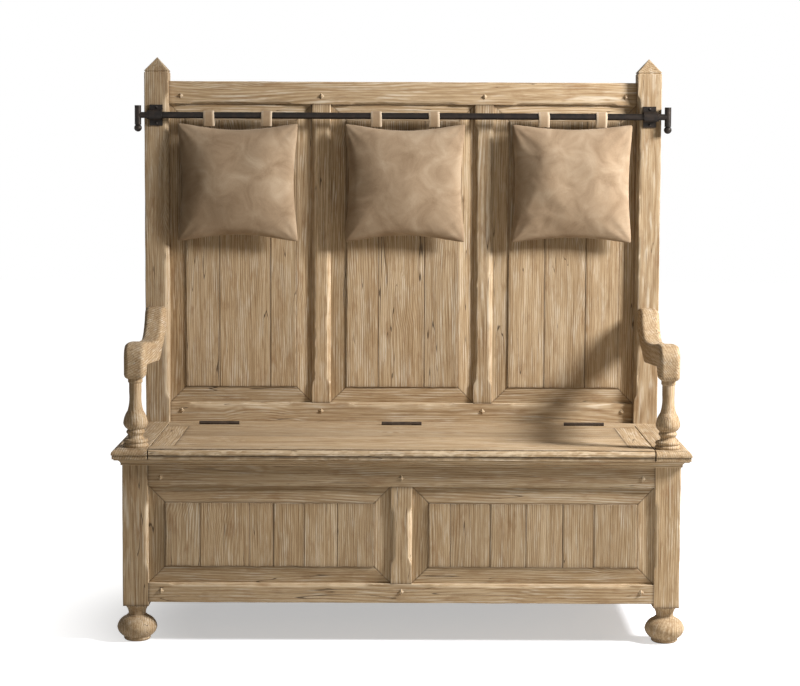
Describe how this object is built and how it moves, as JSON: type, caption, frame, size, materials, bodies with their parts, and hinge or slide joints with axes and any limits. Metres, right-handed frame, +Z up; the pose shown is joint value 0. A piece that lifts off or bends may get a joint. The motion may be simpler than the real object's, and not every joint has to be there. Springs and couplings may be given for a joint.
{
  "type": "settle bench",
  "caption": "Limed oak settle bench: panelled storage box with hinged lid seat, scooped arms on turned posts, tall panelled back, suede cushions looped on an iron bar.",
  "frame": {"origin": "on the floor under the middle of the bench's bounding box", "axes": "+Z up, -Y towards the sitter's feet (the front), +X to the right as seen from the front"},
  "size_m": [1.39, 0.6132, 1.422],
  "materials": {
    "limed_oak": "limed and waxed, worn arrises",
    "forged_iron": "hammered, dark waxed",
    "suede_leather": "napped suede",
    "loop_leather": "napped suede with cut edges"
  },
  "bodies": {
    "settle_frame": {"back_post_left": "limed_oak", "back_post_right": "limed_oak", "front_post_left": "limed_oak", "front_post_right": "limed_oak", "foot_front_left": "limed_oak", "foot_front_right": "limed_oak", "foot_back_left": "limed_oak", "foot_back_right": "limed_oak", "back_crest_rail": "limed_oak", "back_seat_rail": "limed_oak", "back_muntin_left": "limed_oak", "back_muntin_right": "limed_oak", "back_panel_left": "limed_oak", "back_panel_centre": "limed_oak", "back_panel_right": "limed_oak", "box_back_rail": "limed_oak", "box_back_panel": "limed_oak", "front_top_rail": "limed_oak", "front_bottom_rail": "limed_oak", "front_muntin": "limed_oak", "front_panel_left": "limed_oak", "front_panel_right": "limed_oak", "side_top_rail_left": "limed_oak", "side_top_rail_right": "limed_oak", "side_bottom_rail_left": "limed_oak", "side_bottom_rail_right": "limed_oak", "side_panel_left": "limed_oak", "side_panel_right": "limed_oak", "box_floor": "limed_oak", "cleats": "limed_oak", "cove_front": "limed_oak", "cove_sides": "limed_oak", "seat_end_left": "limed_oak", "seat_end_right": "limed_oak", "hinge_rail": "limed_oak", "arm_left": "limed_oak", "arm_right": "limed_oak", "baluster_left": "limed_oak", "baluster_right": "limed_oak", "joint_pegs": "limed_oak", "bar_brackets": "forged_iron", "bracket_screws": "forged_iron", "hinge_case_leaves": "forged_iron", "hinge_pins": "forged_iron", "hinge_case_screws": "forged_iron"},
    "lid": {"lid_front_rail": "limed_oak", "lid_rear_rail": "limed_oak", "lid_board": "limed_oak", "lid_end_left": "limed_oak", "lid_end_right": "limed_oak", "hinge_lid_leaves": "forged_iron", "hinge_lid_screws": "forged_iron"},
    "bar": {"bar_rod": "forged_iron", "bar_finials": "forged_iron"},
    "loops_left": {"cushion_loops_left": "loop_leather"},
    "pad_left": {"cushion_left": "suede_leather"},
    "loops_centre": {"cushion_loops_centre": "loop_leather"},
    "pad_centre": {"cushion_centre": "suede_leather"},
    "loops_right": {"cushion_loops_right": "loop_leather"},
    "pad_right": {"cushion_right": "suede_leather"}
  },
  "joints": [
    {"name": "lid_hinge", "type": "hinge", "parent": "settle_frame", "child": "lid", "pos_m": [0, 0.18088, 0.476], "axis": [-1, 0, 0], "range_deg": [0, 90]},
    {"name": "bar_turn", "type": "hinge", "parent": "settle_frame", "child": "bar", "pos_m": [0, 0.21388, 1.272], "axis": [1, 0, 0], "continuous": true},
    {"name": "cushion_slide_left", "type": "slide", "parent": "settle_frame", "child": "loops_left", "axis": [1, 0, 0], "range_m": [-0.02, 0.055]},
    {"name": "cushion_swing_left", "type": "hinge", "parent": "loops_left", "child": "pad_left", "pos_m": [-0.427, 0.21388, 1.245], "axis": [-1, 0, 0], "range_deg": [0, 90]},
    {"name": "cushion_slide_centre", "type": "slide", "parent": "settle_frame", "child": "loops_centre", "axis": [1, 0, 0], "range_m": [-0.055, 0.055]},
    {"name": "cushion_swing_centre", "type": "hinge", "parent": "loops_centre", "child": "pad_centre", "pos_m": [0.006, 0.21388, 1.245], "axis": [-1, 0, 0], "range_deg": [0, 90]},
    {"name": "cushion_slide_right", "type": "slide", "parent": "settle_frame", "child": "loops_right", "axis": [1, 0, 0], "range_m": [-0.055, 0.015]},
    {"name": "cushion_swing_right", "type": "hinge", "parent": "loops_right", "child": "pad_right", "pos_m": [0.439, 0.21388, 1.245], "axis": [-1, 0, 0], "range_deg": [0, 90]}
  ]
}
